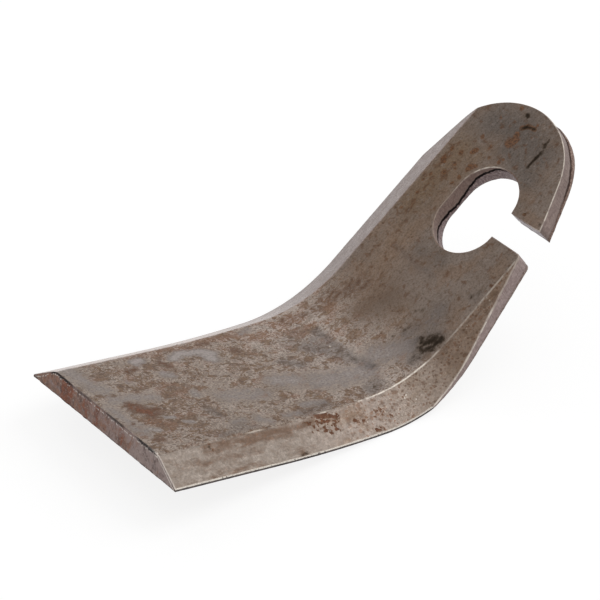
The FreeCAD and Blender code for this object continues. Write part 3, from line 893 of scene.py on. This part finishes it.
# Marks on the front face and its edges: strength, width, then s and v of the path's points.
# Stains, warm and cool tints and rubbed bare steel change the face's colour. Spots and rust are
# brown, and smudge, haze and soot dark. The glints and the line along the crease are painted
# highlights, and so is the bright rim along the edges, which is partly wear. Rust and a painted
# shadow line under the upper edge are marked on the leg's end, and the last marks set how dark the
# painted shade in the crack of the cut sides is.
MARKS = {
    "stain": (
        (0.8, 2.4, -14.5, 11.5, -11, 9.5), (0.8, 1.8, -5.5, 11, -3, 8.5),
        (1, 2.2, -9.5, 6, -8, 1, -6.8, -1), (0.9, 1.2, -14.5, 5.8, -12, 4.6),
        (1.2, 0.9, -20.2, 4.6, -18, 3.8), (1.2, 1.8, -13.5, -3.2, -8, -2.8, -5, -4),
        (1.5, 1.6, -16.5, -5, -15, -7.5), (0.7, 1, -3.5, 13.6, 12, 13.4), (1, 0.9, 1, 9.8, 3.5, 9),
        (1, 1.6, 9.5, 10.5, 12, 7.5), (0.8, 1, -20, -10.5, -18, -10.8), (1.2, 0.9, 8.2, -10.8),
        (1.2, 1.1, 4.4, -12), (0.9, 0.9, 8, -13.2, 18, -13), (0.6, 2.2, -3.5, 4, 1.5, 5.5),
        (0.6, 1.6, 6.5, 3.5, 9.5, 3), (1, 0.9, -13, -15.3, -3, -15.4, 4, -15.4),
        (0.9, 0.7, 5, -15.2, 9, -15.4), (0.5, 0.7, -19.5, -17.2, -10, -17, -3, -17.4),
        (0.6, 0.6, -14, -19.4, -4, -19.3), (0.9, 0.6, 4.2, -19.4), (0.7, 0.9, 15.5, -15.5, 18.5, -17),
        (0.4, 1, 20.5, -16.8, 22.5, -17.4), (0.4, 1.2, 36, -15.6, 50, -15.4), (0.6, 1.6, 60, 12, 62, 11),
        (0.5, 1.4, 54, 12.6, 56, 11.4), (0.6, 2.6, -19, -10, -11, -10.5), (0.7, 2.4, 19, 10, 24, 11),
        (0.5, 1, 42, 12, 46, 13), (0.6, 1.2, 63, 13, 66, 12),
    ),
    "warm": (
        (1, 3.5, 55, 12, 68, 11), (0.8, 4, 36, 5, 50, 10), (0.6, 3, 63, 8.5, 68, 7),
        (0.5, 3, 38, 0, 40, 4), (1.4, 1.6, -7, 13.6, 14, 13.2), (1.2, 3, 15, 10, 26, 11.5),
        (0.8, 2.2, -11, 9.8, -8, 9.6), (0.8, 2, -3, 9.6, -1, 8), (0.7, 2.6, -9, 5, -7.6, 0),
        (0.8, 3, -16, -5.5, -14, -7), (0.6, 2.4, -20, -10, -17, -11), (0.6, 3, 28, 4, 33, 10),
    ),
    "cool": (
        (1, 4, 75, 9, 76.5, 4, 74, -3), (0.5, 3, 36, -8.5, 43, -9), (0.6, 2, 49, 3, 49.5, -2),
        (0.9, 3, 70, -5, 72, 0, 72, 3),
    ),
    "bare": (
        (0.62, 1.8, -20, 13.5, -19.4, 9, -18.2, 5.8), (0.62, 1.5, -18.5, 2.6, -15, 2.2, -11.6, 1),
        (0.5, 1.3, -20.6, 1, -20.6, -4, -19, -7.5), (1.3, 1, -7.6, 12, -6.6, 12.2),
        (1.25, 1, -0.6, 10.6, 1.5, 11.6, 5.2, 10.6, 6.6, 9.4), (1.2, 1.3, 5.4, 9.2, 5.6, 8),
        (0.8, 1, -5.4, 6.8, -4.2, 6), (0.6, 0.9, -12.5, 6.8), (0.7, 0.8, -4.2, 0.2, -4.3, -1),
        (0.8, 2.2, 11, -2.6, 14, -4), (0.75, 2.6, 17, -6, 26, -8), (0.6, 0.9, -4, -10.6, -2, -10.8),
        (0.6, 1, 0.5, -11, 2, -13), (0.7, 0.9, 10.5, -10.8, 13.6, -11.6),
        (0.6, 0.8, 5.5, -12.4, 8, -12.6), (1, 0.5, -18.2, -7.4, -17.2, -8.2),
        (0.9, 0.5, -13.4, -5.2, -12.4, -5.6), (0.8, 0.5, -11.6, -7.6, -10.4, -8.2),
        (0.75, 2.6, 29.7, -6, 34, -8.8), (0.7, 0.7, 15, 12.6, 17, 13.2), (0.6, 2.2, 0, -3, 6, -5),
        (0.6, 1.2, -20.8, -6, -20, -8.4), (0.45, 1.6, 40, -9, 43, -8.6),
    ),
    "spots": (
        (1, 0.9, 73.2, 3.6, 74.4, 3.2), (0.8, 0.6, 75.4, 3.6), (0.9, 0.55, 68.6, 8.6, 69, 8.2),
        (0.9, 0.6, 65.6, 6.8, 66.6, 6.3), (0.9, 0.5, 63.4, 7.4), (0.6, 0.5, 62, 7.6),
        (0.8, 0.45, 65.2, 10), (0.6, 0.45, 64.4, 9.2), (0.8, 0.5, 64.2, 12.2, 65, 13),
        (0.7, 0.5, 66.8, 12.6), (0.6, 0.6, 61.4, 12.6), (0.6, 0.5, 59.8, 13), (0.6, 0.6, 62.6, 10.8),
        (0.38, 1.7, -16.4, -4.8, -15.6, -7), (0.6, 0.6, 67.4, 10.6), (0.7, 0.5, 71.6, 9.2),
        (0.45, 0.7, 71, 6.2), (0.8, 0.5, 79.7, 6.7), (0.9, 0.4, 69.5, 2.5), (0.7, 0.35, 70.3, 2.1),
        (0.6, 0.5, 69.4, 5), (0.5, 0.5, 76.4, 8.8), (0.6, 0.4, 78.6, 1.2),
        (0.9, 0.5, 76.8, 3.6, 77.6, 2.6, 77.7, 1.4), (0.7, 0.4, 64.4, -9.2), (0.8, 0.4, 51, -13.7),
        (0.5, 0.5, 47, -6.6), (0.4, 0.4, 44.6, -3.2), (0.5, 0.5, 53.4, 12.8), (0.5, 0.5, 57.4, 12.2),
        (0.4, 0.6, 50.6, 13), (0.4, 0.4, 44, 5.4), (0.4, 0.4, 48.4, 8.8),
    ),
    "rust": (
        (0.7, 1.9, -16.8, -0.4, -14.8, -3), (1.1, 0.8, -16.4, -1.6, -15, -2.8),
        (0.6, 0.8, -10.6, 9.6, -8.8, 10.2), (0.4, 0.8, 6.2, 12.9, 8, 12.6), (0.5, 1, 10.6, 9, 11.2, 8.4),
        (0.5, 0.9, -3.6, 10.4, -3, 8.8), (0.45, 0.8, -19.6, -10.4, -18.4, -11), (0.5, 0.6, -20, -4.8),
        (1.2, 0.6, 9.8, -14.9, 12, -15, 13.6, -15.6), (1, 0.5, 10.4, -15.9, 12.8, -16),
        (1, 0.4, 9.2, -16.2, 10.6, -17), (0.9, 0.35, 12.3, -16.8, 12.8, -17.4), (0.8, 0.3, 11.3, -17.6),
        (0.8, 0.3, 14, -18.3), (0.7, 0.35, 7, -15, 8.6, -15.5), (0.7, 0.3, 8, -16.6),
        (0.45, 0.5, 16.8, -17, 18.4, -17.2), (0.42, 0.7, 21, -16.9, 22.2, -17), (0.4, 0.4, 23.4, -18.2),
        (0.4, 0.4, 19.6, -19.3, 21, -19.4), (0.5, 0.5, -12, -15.2), (0.35, 2.5, 33, 11.5, 38.5, 8.5),
        (0.9, 0.45, 51, -13.9), (0.3, 2, 24, 12, 30, 11),
    ),
    "smudge": (
        (1, 1.3, 26.4, 6.4, 26.2, 3, 26.2, -2, 26.6, -5, 27.2, -7.6), (1, 2.2, 22.4, 3.6, 24.6, 0.6),
        (0.8, 1.8, 24.6, 4.6, 25.6, -3.6), (0.8, 1.7, 16, 1.8, 18, -0.4),
        (0.9, 1.8, 23.4, -12.8, 25, -11.8), (0.9, 1.7, 32.8, -12.2, 38.5, -12),
        (0.8, 1.5, 35.8, -9.5, 38, -10.8), (0.6, 1.2, 36, -6.5, 38, -7.5), (0.7, 1.2, -5.4, -6, -4.8, -8),
        (0.6, 1.5, -5, -12, -3, -12.4), (0.7, 1.5, 9, -13.2, 14, -12.6), (0.6, 1.4, 48, -12.6),
        (0.5, 2.5, 20.5, 6, 23.5, 8), (0.5, 0.7, 47.5, 8.2, 46.8, 4, 46.6, 0, 46.9, -3.2),
        (0.6, 0.9, -9, -13.3, -1, -13.1),
    ),
    "haze": (
        (1, 3.4, 35.2, 3.6, 39, 1.6), (0.35, 2.5, 43, 3, 46, 1),
    ),
    "edge_shadow": (
        (1, 1, -22, 14.5, -22, 10), (0.5, 0.7, -22, 7, -22, 4.8), (0.7, 0.8, -22, -1, -22, -4.5),
        (1, 0.9, -22, -9.5, -22, -13.4),
    ),
    "rusty": (
        (0.9, 1.1, -22, 11.4, -22, 10), (0.5, 1.4, -22, 6, -22, 5), (0.7, 1, -22, 2.2),
        (0.6, 0.8, -22, -4.8),
    ),
    "soot": (
        (0.95, 0.9, 36.3, -12.5, 38.6, -13), (0.35, 0.9, 32.8, -12.5, 34.6, -12.4),
        (0.6, 0.9, 35, -12.4, 38.4, -12.2), (0.7, 0.9, 35, -11.4, 36.8, -10.2),
        (0.36, 0.7, 33.4, -11.6, 34.8, -11), (0.85, 0.9, 36.4, -11.2, 38.2, -11.8),
        (0.34, 0.8, 23.4, -13.2, 24.6, -12.6), (0.4, 1, 48, -12.4, 48.6, -12.9),
        (0.25, 0.7, 26.6, 6.2, 26.4, 4), (0.25, 0.7, 26, -1, 26.4, -4.4),
        (0.28, 0.5, 27.4, -8, 28.4, -8.2), (0.4, 0.6, -4.8, -7.6), (0.5, 0.4, 36.2, -6, 37.4, -6.3),
        (0.6, 0.4, 41, -5.8), (0.45, 0.35, 34.2, -5), (0.5, 0.3, 40.2, -4.9),
        (0.5, 0.3, 15, -9, 15.6, -8.8), (1.2, 0.5, 79, 4.6), (1, 0.34, 77, 3.4, 77.5, 2.4, 77.7, 1.4),
        (0.7, 0.3, 76.4, 3.6, 76.9, 3.5), (1, 0.28, 71.5, -2.9, 73, -3.2, 74.5, -3.3, 77.5, -2.8),
        (1.2, 0.38, 73.6, -3.2, 74.8, -3.3), (0.9, 0.28, 75.6, -3.1, 76.6, -2.8),
        (0.4, 0.2, 76.4, -2.9, 76.2, -2.2), (0.6, 0.35, 64.6, -9.1), (1, 0.28, 64.3, -13.2),
        (0.7, 0.3, 50.9, -13.8), (0.4, 0.5, 4, -19.6, 5, -19.5), (0.4, 0.4, -12.2, -15.3),
        (0.5, 0.3, 37.5, -15.4), (0.35, 0.4, 43, 7.4),
    ),
    "glint": (
        (0.9, 0.18, 22.6, 5), (0.8, 0.2, 22.4, 1.1), (0.8, 0.2, 25.7, 1.4), (0.6, 0.18, 23.4, 4),
        (0.7, 0.16, 27.2, -16.6, 27.9, -16.3), (0.8, 0.18, 28.4, -17.7), (0.8, 0.18, 17.1, -17.2),
        (0.5, 0.14, 35, -3.4, 35.7, -5), (0.6, 0.3, 52, -13.9), (0.6, 0.3, -21.7, -14.2),
        (0.5, 0.3, 12.8, -11.2), (0.5, 0.2, -18.4, -7.4, -17.4, -7.6), (0.6, 0.2, 67, 4.2, 67.8, 3.4),
    ),
    "crease_highlight": (
        (1, 1.6, 20.5, -14.4, 33, -14.4), (0.35, 1, 40, -14.4, 57, -14.4),
        (0.15, 0.8, -12, -14.4, -8, -14.4), (0.45, 0.6, -3.5, -14.4, -1.5, -14.4),
        (0.15, 0.8, 6, -14.4, 17, -14.4), (0.7, 0.5, 10.5, -14.2, 12, -14.2),
        (0.5, 0.8, 34, -14.4, 36.5, -14.4),
    ),
    "wear_and_highlight": (
        (0.85, 3, 64, -14, 72, -11, 77, -7, 80.5, -1), (0.3, 2.2, 53, 4, 56, 6, 61, 6.5, 64, 6),
        (1, 1.6, 66.4, 4.8, 68.6, 2.2), (0.5, 1, 61.8, 6.1, 64.6, 5.9), (0.9, 3, -22, -16.5, -22, -20),
        (1, 0.8, -22, -14.4), (1, 2, -22, -20, 33, -20), (0.9, 2, 33, -20, 47, -16.6),
        (0.5, 2, 47, -16.6, 58, -14.5),
    ),
    "crack_shade": (
        (1, 12, 58, 3, 64, 3), (0.62, 4, 73, -10, 76, -9, 81, 0), (0.35, 4, 65, -12.5, 70, -11.5),
        (0.4, 9, 75, 12),
    ),
}


def store(mesh, name, values):
    """Gives the mesh one number a vertex, for its materials to read."""
    mesh.attributes.new(name, "FLOAT", "POINT").data.foreach_set("value", values.astype(np.float32))


def added(name, data):
    """A new object in the scene."""
    obj = bpy.data.objects.new(name, data)
    bpy.context.scene.collection.objects.link(obj)
    return obj


def flail_knife():
    """The blade as one object, with its materials and with what they read."""
    flat, fields, faces, groups = blade_mesh()
    mesh = bpy.data.meshes.new("flail_knife")
    mesh.from_pydata(placed(relief(flat, fields[:, 1])).tolist(), [], faces)
    mesh.update()
    places = mesh.attributes.new("flat", "FLOAT_VECTOR", "POINT")
    places.data.foreach_set("vector", flat.astype(np.float32).ravel())
    for name, values in zip(("rim", "below", "run"), fields.T):
        store(mesh, name, values)
    wander = np.column_stack([ripple(flat, *setting) for setting in MARK_WANDER])
    for name, strokes in MARKS.items():
        store(mesh, name, painted(flat[:, :2] + wander, strokes))
    slots = {}
    for index, (name, (covered, build, *colours)) in enumerate(FINISHES.items()):
        steel = Steel(f"steel_{name}")
        build(steel, *colours)
        mesh.materials.append(steel.material)
        slots.update({kind: index for kind in covered})
    for polygon, group in zip(mesh.polygons, groups):
        polygon.use_smooth = True
        polygon.material_index = slots[group]
    return added("flail_knife", mesh)


def away_from_blade(azimuth, elevation):
    """Direction from the blade, by angles in radians. Azimuth 0 is on the -Y side, and 90 degrees on +X."""
    flat = math.cos(elevation)
    return Vector((math.sin(azimuth) * flat, -math.cos(azimuth) * flat, math.sin(elevation)))


def camera():
    """The photograph's view."""
    data = bpy.data.cameras.new("camera")
    data.sensor_width = SENSOR_WIDTH
    data.lens = FOCAL_PIXELS / IMAGE_PIXELS * SENSOR_WIDTH
    data.clip_start, data.clip_end = CAMERA_CLIP
    back = away_from_blade(CAMERA_AZIMUTH, CAMERA_ELEVATION)
    right = Vector((math.cos(CAMERA_AZIMUTH), math.sin(CAMERA_AZIMUTH), 0.0))
    up = back.cross(right)
    across = right * math.cos(CAMERA_ROLL) + up * math.sin(CAMERA_ROLL)
    upward = up * math.cos(CAMERA_ROLL) - right * math.sin(CAMERA_ROLL)
    obj = added("camera", data)
    turn = Matrix((across, upward, back)).transposed().to_4x4()
    obj.matrix_world = Matrix.Translation(CAMERA_TARGET + back * CAMERA_DISTANCE) @ turn
    bpy.context.scene.camera = obj


def softbox(name, azimuth, elevation, distance, size, power):
    """A square lamp aimed at the blade."""
    data = bpy.data.lights.new(name, "AREA")
    data.shape = "SQUARE"
    data.size = size
    data.energy = power
    obj = added(name, data)
    out = away_from_blade(math.radians(azimuth), math.radians(elevation))
    obj.location = CAMERA_TARGET + out * distance
    obj.rotation_mode = "QUATERNION"
    obj.rotation_quaternion = out.to_track_quat("Z", "Y")


def to_white(m, lit, strength):
    """Adds light to a surface for what the camera and reflections see of it, and for nothing else."""
    path = m.put("ShaderNodeLightPath", {}).outputs
    seen = m.most(m.most(path["Is Camera Ray"], path["Is Glossy Ray"]), path["Is Transmission Ray"])
    glow = m.put("ShaderNodeEmission", {"Color": WHITE, "Strength": m.times(seen, strength)})
    return m.put("ShaderNodeAddShader", {0: lit, 1: glow.outputs[0]}).outputs[0]


def floor():
    """Pale floor under the blade, bright to the eye, that keeps a faint shadow."""
    data = bpy.data.meshes.new("floor")
    r = FLOOR_HALF
    data.from_pydata([(-r, -r, 0), (r, -r, 0), (r, r, 0), (-r, r, 0)], [], [(0, 1, 2, 3)])
    obj = added("floor", data)
    material = bpy.data.materials.new("floor_paper")
    m = Nodes(material)
    m.tree.nodes.remove(m.tree.nodes["Principled BSDF"])
    paper = m.put("ShaderNodeBsdfDiffuse", {"Color": FLOOR_COLOUR}).outputs[0]
    m.feed(m.tree.nodes["Material Output"].inputs["Surface"], to_white(m, paper, FLOOR_GLOW))
    data.materials.append(material)


def room():
    """Even white surroundings."""
    world = bpy.data.worlds.new("room")
    bpy.context.scene.world = world
    m = Nodes(world)
    soft = m.tree.nodes["Background"]
    m.feed(soft.inputs["Color"], WHITE)
    m.feed(soft.inputs["Strength"], ROOM_LIGHT)
    m.feed(m.tree.nodes["World Output"].inputs["Surface"], to_white(m, soft.outputs[0], ROOM_GLOW))


blade = flail_knife()
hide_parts("blade")
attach(blade, "root")

camera()
floor()
room()
for name, values in LAMPS.items():
    softbox(name, *values)
bpy.context.scene.view_settings.view_transform = "Standard"
